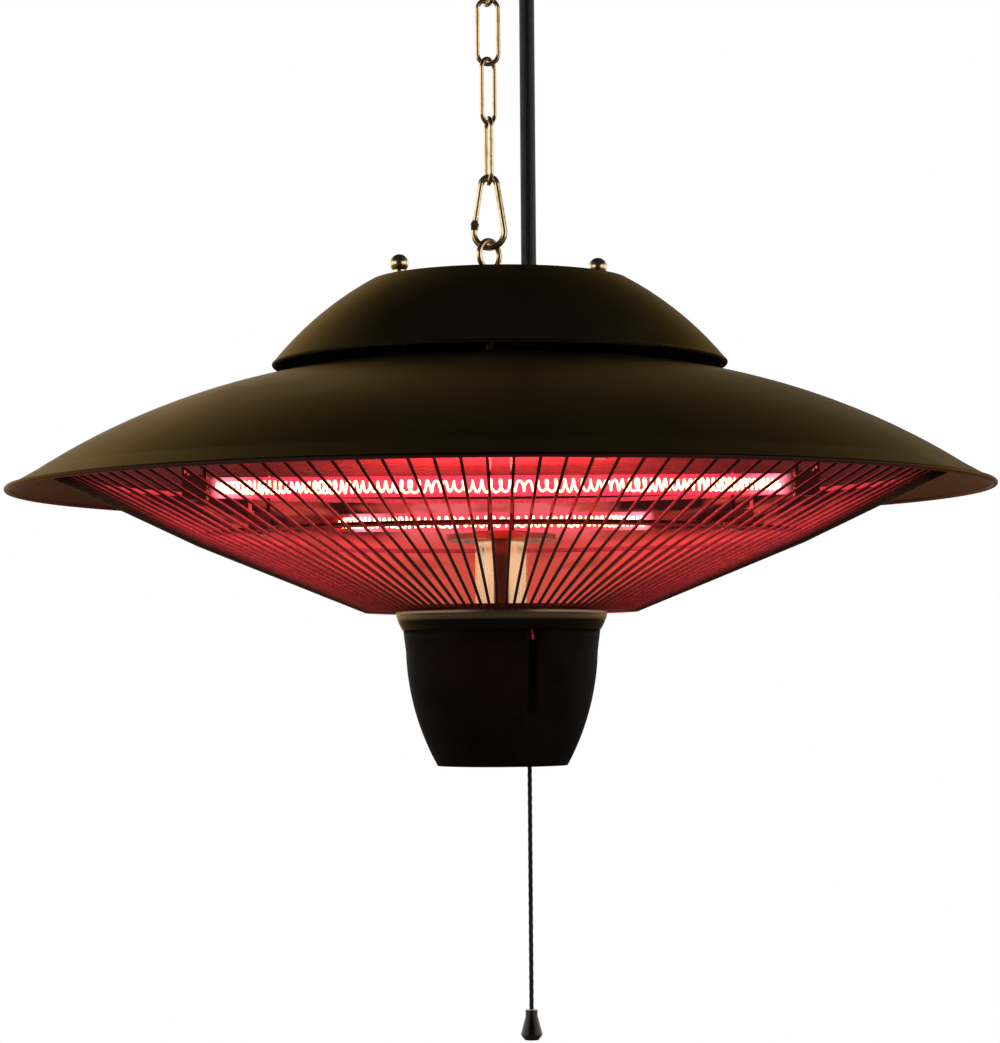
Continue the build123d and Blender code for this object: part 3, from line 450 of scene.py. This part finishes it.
def polished_post():
    """Bright plated post with fine upright streaks, tinted warm as painted glow, and the neck above it in a
    painted dull red glow.
    """
    look = Finish("polished_post")
    streaks = look.noise(900.0, stretch=(1.0, 1.0, 0.04))
    # Painted glow: the plating and its gloss are tinted warm, the neck above the post dull red, for the
    # tubes' light.
    above = look.spread(look.axis("Z"), 0.0, 1.0, *from_level(highest("central_post"), post_top_band))
    bright = look.mixed(streaks, (0.78, 0.49, 0.27), (0.86, 0.57, 0.34))
    look.put(Base_Color=look.blend(above, bright, (0.50, 0.10, 0.08)), Metallic=1.0)
    look.put(Specular_Tint=(0.90, 0.55, 0.38))
    look.put(Roughness=look.between(above, look.spread(streaks, 0.07, 0.15), 0.4))
    return look.bump(streaks, 0.12, 0.00003)


def wire_finish():
    """Dark bronze coat on drawn wire, thin on the crests, with a painted red glow, as emission, where it
    faces the tubes.
    """
    look = Finish("wire_finish")
    worn = look.noise(420.0, 4.0)
    height = look.axis("Z")
    look.put(Base_Color=look.mixed(worn, (0.045, 0.031, 0.018), (0.085, 0.058, 0.034)), Metallic=0.7)
    look.put(Roughness=look.spread(worn, 0.30, 0.44), Emission_Color=glow_red)
    look.put(Specular_Tint=(0.80, 0.45, 0.35))
    # Painted red glow: emission stands in for the tubes' light, from the knee up to the dish, on the sides
    # facing the tubes, fading past their ends and low in the middle under the knee.
    knee = lowest("grille_wires") + wire_radius + grille_knee_rise
    under_knee = look.spread(look.unsigned(look.axis("X")), 0.02, 0.55, *under_knee_aside)
    from_knee = look.spread(height, under_knee, 1.0, *from_level(knee, knee_band))
    under_dish = look.spread(height, 1.0, 0.0, lowest("reflector"), highest("reflector"))
    facing_tubes = look.times(look.spread(look.beside(), 1.0, 0.0, *off_the_ends), look.inward())
    lit = look.times(look.times(from_knee, under_dish), facing_tubes)
    look.put(Emission_Strength=look.times(lit, look.spread(worn, 0.60, 0.95)))
    return look.bump(look.noise(1900.0, 2.0), 0.15, 0.00004)


def zinc_steel():
    """Zinc-plated steel with its fine crystals, with a painted red glint in the cup under the basket."""
    look = Finish("zinc_steel")
    cells = look.noise(700.0, 4.0)
    steel = look.mixed(cells, (0.50, 0.50, 0.48), (0.68, 0.68, 0.66))
    foot_edge = from_level(lowest("grille_wires"), grille_foot_band)
    # Painted red glint: the steel under the grille's foot is coloured red, for the tubes' light.
    look.put(Base_Color=look.mixed(look.axis("Z"), (0.55, 0.05, 0.05), steel, *foot_edge), Metallic=1.0)
    look.put(Roughness=look.spread(cells, 0.28, 0.42))
    return look.bump(cells, 0.15, 0.00005)


def quartz():
    """Clear quartz, filled with red light as far as the filament reaches and palest at its ends."""
    look = Finish("quartz")
    haze = look.noise(60.0)
    front, back = [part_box(f"filament_{row}")[1][0] for row in coil_turns]
    coil_end = look.spread(look.axis("Y"), front, back, *between_tubes)
    past_end = look.number("SUBTRACT", look.unsigned(look.axis("X")), coil_end)
    pale = look.spread(past_end, 0.0, 1.0, *pale_band)
    lit = look.spread(past_end, 1.0, 0.0, *unlit_band)
    look.put(Base_Color=(0.05, 0.015, 0.015), Roughness=0.05, IOR=1.46)
    look.put(Alpha=look.times(look.spread(haze, 0.32, 0.40), look.between(lit, 0.5, 1.0)))
    look.put(Emission_Color=look.blend(pale, (1.0, 0.03, 0.08), (1.0, 0.27, 0.37)))
    look.put(Emission_Strength=look.times(look.between(pale, 1.5, 1.8), lit))
    return look


def hot_wire():
    """Glowing resistance wire, paler in patches."""
    look = Finish("hot_wire")
    hot = look.noise(150.0, 2.0)
    look.put(Base_Color=(0.30, 0.16, 0.10), Roughness=0.5)
    look.put(Emission_Color=look.mixed(hot, (1.0, 0.62, 0.22), (1.0, 0.86, 0.48)), Emission_Strength=7.5)
    return look


def ceramic():
    """Dark glazed ceramic with a fine speckle."""
    look = Finish("ceramic")
    speckle = look.noise(900.0, 4.0)
    look.put(Base_Color=look.mixed(speckle, (0.075, 0.055, 0.040), (0.125, 0.095, 0.070)), Roughness=0.35)
    return look.bump(speckle, 0.15, 0.00005)


def cup_moulding():
    """Near-black moulded cup with a fine satin grain."""
    look = Finish("cup_moulding")
    grain = look.noise(1700.0)
    clouds = look.noise(30.0)
    look.put(Base_Color=look.mixed(clouds, (0.008, 0.007, 0.006), (0.014, 0.012, 0.010)))
    look.put(Roughness=look.spread(clouds, 0.42, 0.52), Specular_IOR_Level=0.10, IOR=1.12)
    return look.bump(grain, 0.2, 0.00005)


def switch_plastic():
    """Dark grey moulded switch parts."""
    look = Finish("switch_plastic")
    grain = look.noise(1200.0)
    look.put(Base_Color=look.mixed(grain, (0.08, 0.08, 0.09), (0.12, 0.12, 0.13)), Roughness=0.5)
    return look.bump(grain, 0.2, 0.00005)


def block_plastic():
    """Dark moulded block and cut-out."""
    look = Finish("block_plastic")
    grain = look.noise(1000.0)
    look.put(Base_Color=look.mixed(grain, (0.035, 0.033, 0.030), (0.050, 0.047, 0.042)), Roughness=0.6)
    return look.bump(grain, 0.15, 0.00005)


def lead_sleeve():
    """Woven glass sleeve over the leads, near black between post and dish."""
    look = Finish("lead_sleeve")
    weave = look.noise(2600.0, 2.0)
    plain_weave = look.mixed(weave, (0.66, 0.63, 0.55), (0.84, 0.82, 0.75))
    height = look.axis("Z")
    darkened_span = from_level(highest("central_post"), dark_from_post)
    over_post = look.mixed(height, plain_weave, (0.030, 0.016, 0.012), *darkened_span)
    plain_again = from_level(lowest("reflector"), dark_to_dish)
    look.put(Base_Color=look.mixed(height, over_post, plain_weave, *plain_again), Roughness=0.8)
    return look.bump(weave, 0.5, 0.0001)


def pull_braid():
    """Black braided cord."""
    look = Finish("pull_braid")
    fibres = look.noise(5200.0, 2.0, (1.0, 1.0, 0.3))
    look.put(Base_Color=look.mixed(fibres, (0.010, 0.010, 0.009), (0.032, 0.030, 0.028)), Roughness=0.75)
    return look.bump(fibres, 0.4, 0.00006)


def knob_plastic():
    """Glossy black moulded knob."""
    look = Finish("knob_plastic")
    flow = look.noise(120.0)
    look.put(Base_Color=look.mixed(flow, (0.010, 0.009, 0.008), (0.020, 0.018, 0.016)))
    look.put(Roughness=look.spread(flow, 0.18, 0.28))
    return look.bump(look.noise(1500.0, 2.0), 0.08, 0.00003)


def finish_nodes():
    """Gives every node of the part the finish of its slot, and returns the finishes by name."""
    finishes = (
        bronze_paint, bezel_bronze, antique_brass, cable_rubber, polished_sheet, polished_post,
        wire_finish, zinc_steel, quartz, hot_wire, ceramic, cup_moulding, switch_plastic,
        block_plastic, lead_sleeve, pull_braid, knob_plastic,
    )
    materials = {make.__name__: make().material for make in finishes}
    for row in frame["record"]["subparts"]:
        mesh = nodes[row["node"]].data
        mesh.materials.clear()
        mesh.materials.append(materials[row["material_slot"]])
    return materials


# Meshes
def added(name, data):
    """A new object in the scene, at the origin, around its mesh, lamp or lens."""
    piece = bpy.data.objects.new(name, data)
    bpy.context.scene.collection.objects.link(piece)
    return piece


def mesh_of_grids(name, grids, capped=True):
    """One mesh over grids of rings and sides, each ring closed on itself, with flat ends if capped.

    Each face joins a point, the next one on its ring, and the same two on the next ring.
    """
    points = []
    faces = []
    for grid in grids:
        rings, sides = grid.shape[:2]
        here = len(points) + np.arange(rings * sides).reshape(rings, sides)
        after = np.roll(here, -1, axis=1)
        faces += np.stack([here[:-1], after[:-1], after[1:], here[1:]], -1).reshape(-1, 4).tolist()
        if capped:
            faces.append(here[0, ::-1].tolist())
            faces.append(here[-1].tolist())
        points += grid.reshape(-1, 3).tolist()
    mesh = bpy.data.meshes.new(name)
    mesh.from_pydata(points, [], faces)
    mesh.shade_smooth()
    return added(name, mesh)


def upright_grid(x, y, heights, radii, sides):
    """Rings round an upright line: x + radii * cos(turn), y + radii * sin(turn), height.

    The radii may change with the height and the turn.
    """
    turn = np.linspace(0, 2 * pi, sides, endpoint=False)[None, :]
    across = x + radii * np.cos(turn)
    along = y + radii * np.sin(turn)
    return np.stack(np.broadcast_arrays(across, along, heights[:, None]), -1)


def tube_grid(path, radius, sides):
    """Rings of a round tube on a path: point + radius * (side * cos + up * sin), square to the way there.

    Each side is the last one with what lies along the way taken off, so the tube doesn't twist. The first is
    square to a direction that no path here starts along.
    """
    path = np.asarray(path)
    way = np.gradient(path, axis=0)
    way /= np.linalg.norm(way, axis=1, keepdims=True)
    aslant = (0.31, 0.17, 0.93)
    side = [np.cross(way[0], aslant)]
    for step in way:
        carried = side[-1] - step * np.dot(side[-1], step)
        side.append(carried / np.linalg.norm(carried))
    side = np.array(side[1:])
    up = np.cross(way, side)
    turn = np.linspace(0, 2 * pi, sides, endpoint=False)
    ring = np.cos(turn)[None, :, None] * side[:, None, :] + np.sin(turn)[None, :, None] * up[:, None, :]
    return path[:, None, :] + radius * ring


def rounded(corners, radius, steps):
    """The path through flat corners, each inner one rounded by an arc that touches both legs.

    An arc's centre lies on the line that halves its corner, radius / sin(half the angle) away, and the arc
    touches the legs radius / tan(half the angle) away.
    """
    corners = [np.array(corner) for corner in corners]
    path = [corners[0]]
    for before, corner, after in zip(corners, corners[1:], corners[2:]):
        first = (before - corner) / np.linalg.norm(before - corner)
        second = (after - corner) / np.linalg.norm(after - corner)
        half = np.arccos(np.clip(np.dot(first, second), -1, 1)) / 2
        inward = (first + second) / np.linalg.norm(first + second)
        centre = corner + inward * radius / np.sin(half)
        start = corner + first * radius / np.tan(half) - centre
        end = corner + second * radius / np.tan(half) - centre
        share = np.linspace(0, 1, steps)[:, None]
        spokes = start * (1 - share) + end * share
        path.extend(centre + spokes * radius / np.linalg.norm(spokes, axis=1, keepdims=True))
    return np.array(path + [corners[-1]])


def bent_wires(materials):
    """The grille's drawn wires: one flat path, bent on arcs at foot and knee, turned round in equal steps."""
    low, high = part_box("grille_wires")
    centre = low[2] + wire_radius
    knee = (grille_knee_radius, centre + grille_knee_rise)
    corners = [
        (grille_end_radius, centre),
        (grille_bend_radius, centre),
        knee,
        wire_tip(knee, high),
    ]
    bent = rounded(corners, wire_bend_radius, wire_bend_steps)
    tubes = []
    for turn in np.arange(wire_count) * 2 * pi / wire_count:
        path = np.stack([bent[:, 0] * np.cos(turn), bent[:, 0] * np.sin(turn), bent[:, 1]], -1)
        tubes.append(tube_grid(path, wire_radius, wire_sides))
    wires = mesh_of_grids("bent_wires", tubes)
    wires.data.materials.append(materials["wire_finish"])
    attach(wires, "heater")
    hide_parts("grille_wires")


def wire_tip(knee, high):
    """Where a wire's middle line ends: the box's corner, less the radius square to the slanted tube."""
    slope = (high[2] - knee[1]) / (high[0] - knee[0])
    length = hypot(1, slope)
    return high[0] - wire_radius * slope / length, high[2] - wire_radius / length


def coil_wave(name, share):
    """One of the coil's waves: the sine of pace * share + start."""
    pace, start = coil_waves[name]
    return np.sin(pace * share + start)


def filament_coil(materials, row):
    """A wound filament, crowded at its ends.

    With s from -1 to 1, the turns run as (s + c * s**3) / (1 + c), and each loop leans over a little:
    x = middle + half * s + lean * cos(angle), y and z = middle + swell * (cos, sin) of the angle. The lean
    changes with two waves of s, the swell with one.
    """
    low, high = [np.array(corner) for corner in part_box(f"filament_{row}")]
    middle = (low + high) / 2
    count = coil_turns[row]
    share = np.linspace(-1, 1, count * coil_steps)
    angle = pi * count * (share + coil_crowding * share**3) / (1 + coil_crowding)
    lean = coil_lean * (coil_steady_share + coil_wave("long", share) * coil_wave("short", share))
    swell = coil_radius * (1 - coil_swell_share + coil_swell_share * coil_wave("swell", share))
    half = (high[0] - low[0]) / 2 - coil_lean * (1 + coil_steady_share) - coil_wire_radius
    x = middle[0] + half * share + lean * np.cos(angle)
    path = np.stack([x, middle[1] + swell * np.cos(angle), middle[2] + swell * np.sin(angle)], -1)
    coil = mesh_of_grids(f"coil_{row}", [tube_grid(path, coil_wire_radius, coil_sides)])
    coil.data.materials.append(materials["hot_wire"])
    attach(coil, "heater")
    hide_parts(f"filament_{row}")


def channel_slots():
    """Boxes that open the cup's screw channels: a channel wide, from their circle to twice its radius."""
    bottom = lowest("cup_housing") - channel_radius
    top = highest("cup_housing") - channel_top_drop
    slots = []
    for turn in radians(channel_turn) + np.arange(channel_count) * 2 * pi / channel_count:
        out = np.array((np.cos(turn), np.sin(turn), 0.0))
        across = np.array((-np.sin(turn), np.cos(turn), 0.0)) * channel_radius
        inner = out * channel_circle
        outer = inner * 2
        square = np.array([inner - across, outer - across, outer + across, inner + across])
        slots.append(np.array([square + (0.0, 0.0, height) for height in (bottom, top)]))
    return slots


def open_cup(materials):
    """The moulded cup with its screw channels open on the outside, as deep grooves.

    The node's loose triangles are welded first, and the slots are cut from the welded mesh.
    """
    source = nodes["cup_housing"]
    mesh = source.data.copy()
    mesh.transform(source.matrix_world)
    work = bmesh.new()
    work.from_mesh(mesh)
    bmesh.ops.remove_doubles(work, verts=work.verts, dist=weld_gap)
    work.to_mesh(mesh)
    work.free()
    cup = added("open_cup", mesh)
    cutter = mesh_of_grids("channel_slots", channel_slots())
    cut = cup.modifiers.new("channels", "BOOLEAN")
    cut.object = cutter
    cut.solver = "EXACT"
    bpy.context.view_layer.update()
    shape = bpy.data.meshes.new_from_object(cup.evaluated_get(bpy.context.evaluated_depsgraph_get()))
    cup.modifiers.clear()
    cup.data = shape
    bpy.data.objects.remove(cutter)
    shape.materials.clear()
    shape.materials.append(materials["cup_moulding"])
    shape.shade_smooth()
    shape.set_sharp_from_angle(angle=radians(sharp_edge))
    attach(cup, "heater")
    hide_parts("cup_housing")


def upright_cord(node, ring_step):
    """The middle, the radius and the ring heights, from the top down, of a node that hangs upright."""
    low, high = [Vector(corner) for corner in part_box(node)]
    count = round((high.z - low.z) / ring_step) + 1
    heights = np.linspace(high.z, low.z, count)
    return (low.x + high.x) / 2, (low.y + high.y) / 2, (high.x - low.x) / 2, heights


def mains_cable(materials):
    """The taut mains cable: a straight upright tube between chain and heater."""
    x, y, radius, heights = upright_cord("mains_cable", cable_ring_step)
    cable = mesh_of_grids("mains_cable_sheath", [upright_grid(x, y, heights, radius, cable_sides)])
    cable.data.materials.append(materials["cable_rubber"])
    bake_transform(cable)
    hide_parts("mains_cable")


def pull_cord(materials):
    """The hanging pull cord: a tube whose wall follows two crossing sets of braid strands.

    The wall stands at radius - depth * (1 - cosine), with the higher of both sets' cosines: strands / 2 times
    the turn, plus the lift for one set and less the lift for the other.
    """
    x, y, radius, heights = upright_cord("pull_cord", cord_ring_step)
    turn = np.linspace(0, 2 * pi, cord_sides, endpoint=False)[None, :]
    lift = 2 * pi * heights[:, None] / braid_pitch
    strands = np.maximum(np.cos(braid_strands / 2 * turn + lift), np.cos(braid_strands / 2 * turn - lift))
    radii = radius - braid_depth * (1 - strands)
    cord = mesh_of_grids("pull_cord_braid", [upright_grid(x, y, heights, radii, cord_sides)])
    cord.data.materials.append(materials["pull_braid"])
    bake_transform(cord)
    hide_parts("pull_cord")


# Stage
def far_painted_glow():
    """Painted red glow that shows between the far wires: a glowing skin just outside them, unseen from
    outside, with painted shade past the tubes' ends.

    Its outline runs from the wires' lower bend over the knee to their tips, and turns round the upright axis.
    """
    low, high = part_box("grille_wires")
    centre = low[2] + wire_radius
    knee = centre + grille_knee_rise
    gap = wire_radius + skin_gap
    slope_low = (grille_bend_radius, centre - gap)
    slope_knee = (grille_knee_radius + gap * skin_knee_share, knee - gap)
    outline = np.array([slope_low, slope_knee, (high[0] + gap, high[2] - gap)])
    grid = upright_grid(0.0, 0.0, outline[:, 1], outline[:, :1], skin_sides)
    skin = mesh_of_grids("far_painted_glow", [grid], capped=False)
    material = bpy.data.materials.new("far_painted_glow")
    look = Tree(material, "Object")
    # Painted glow: brighter red aside below the knee, red near the middle and dark aside above it, with
    # darker streaks, and painted shade past the tubes' ends.
    aside = look.unsigned(look.axis("X"))
    lower = look.mixed(aside, (0.64, 0.075, 0.050), (0.95, 0.060, 0.055), *skin_aside)
    upper = look.mixed(aside, (0.80, 0.12, 0.13), (0.035, 0.006, 0.006), *skin_top_aside)
    tone = look.mixed(look.axis("Z"), lower, upper, *from_level(knee, skin_top_band))
    streaks = look.mixed(look.noise(26.0, 2.0), (0.50, 0.050, 0.034), tone, 0.34, 0.50)
    glow = look.mixed(look.beside(), streaks, (0.040, 0.016, 0.010), *off_the_ends)
    from_inside = look.add("ShaderNodeNewGeometry").outputs["Backfacing"]
    clear = look.add("ShaderNodeBsdfTransparent").outputs[0]
    look.show(look.either(from_inside, clear, look.light("ShaderNodeEmission", glow)))
    skin.data.materials.append(material)
    skin.visible_shadow = False
    skin.visible_diffuse = False
    skin.visible_glossy = False
    skin.parent = frame["bodies"]["heater"]


def backdrop():
    """White to the camera; to the heater, dark but for a low glow behind it and a panel each side.

    The level in a direction is the brighter of glow and panels, and the floor's light on top.
    """
    world = bpy.data.worlds.new("studio")
    bpy.context.scene.world = world
    sky = Tree(world, "Generated")
    across, away, up = sky.axis("X"), sky.axis("Y"), sky.axis("Z")
    low = sky.spread(up, horizon_glow, 0.0, *glow_upwards)
    above = sky.spread(up, under_horizon_share, 1.0, *glow_from_floor)
    behind = sky.spread(away, 0.0, 1.0, *glow_backwards)
    aside = sky.spread(across, 1.0, right_share, *glow_rightwards)
    glow = sky.times(sky.times(low, behind), sky.times(aside, above))
    panel = sky.spread(sky.unsigned(across), 0.0, side_glow, *panel_inner_edge)
    over_low_edge = sky.spread(up, 0.0, 1.0, *panel_low_edge)
    under_high_edge = sky.spread(up, 1.0, 0.0, *panel_high_edge)
    panels = sky.times(panel, sky.times(over_low_edge, under_high_edge))
    floor = sky.spread(up, floor_glow, ambient, *floor_edge)
    level = sky.number("ADD", sky.number("MAXIMUM", glow, panels), floor)
    dim = sky.light("ShaderNodeBackground", warm_white, level)
    white = sky.light("ShaderNodeBackground", (backdrop_white, backdrop_white, backdrop_white))
    seen = sky.add("ShaderNodeLightPath").outputs["Is Camera Ray"]
    sky.show(sky.either(seen, dim, white), "ShaderNodeOutputWorld")


def red_light(name, place, target, size, power):
    """A rectangular red light on the heater, from a place to a target, that no polished part mirrors."""
    lamp = bpy.data.lights.new(name, "AREA")
    lamp.shape = "RECTANGLE"
    lamp.size, lamp.size_y = size
    lamp.energy = power
    lamp.color = glow_red
    light = added(name, lamp)
    aim = (target - place).to_track_quat("-Z", "Y").to_matrix().to_4x4()
    light.matrix_world = Matrix.Translation(place) @ aim
    light.visible_camera = False
    light.visible_glossy = False
    light.parent = frame["bodies"]["heater"]


def tube_lights():
    """Red light from both quartz tubes, each way round them, and red pools in the dish's middle."""
    for row in coil_turns:
        low, high = [Vector(corner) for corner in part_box(f"filament_{row}")]
        middle = (low + high) / 2
        size = (high.x - low.x, tube_glow_width)
        for (y, z), power in tube_powers.items():
            red_light(f"glow_{row}_{y}_{z}", middle, middle + Vector((0, y, z)), size, power)
    for y, power in pool_powers.items():
        place = Vector((0, y, highest("post_neck")))
        red_light(f"pool_{y}", place, place + Vector((0, 0, 1)), pool_size, power)


def add_camera():
    """The photograph's viewpoint: below the rim, tilted a little up and rolled a little."""
    lens_data = bpy.data.cameras.new("photo_view")
    lens_data.lens = lens
    lens_data.sensor_width = film_width
    lens_data.sensor_fit = "AUTO"
    camera = added("photo_view", lens_data)
    place = Vector((camera_side, -camera_distance, lowest("canopy") - camera_drop))
    tilt = Matrix.Rotation(radians(90 + camera_tilt), 4, "X")
    roll = Matrix.Rotation(radians(-camera_roll), 4, "Z")
    camera.matrix_world = Matrix.Translation(place) @ tilt @ roll
    bpy.context.scene.camera = camera


# The scene
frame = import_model()
nodes = frame["nodes"]
finishes = finish_nodes()
add_camera()
mains_cable(finishes)
pull_cord(finishes)
bent_wires(finishes)
open_cup(finishes)
for row in coil_turns:
    filament_coil(finishes, row)
far_painted_glow()
backdrop()
tube_lights()
bpy.context.scene.view_settings.view_transform = "Standard"
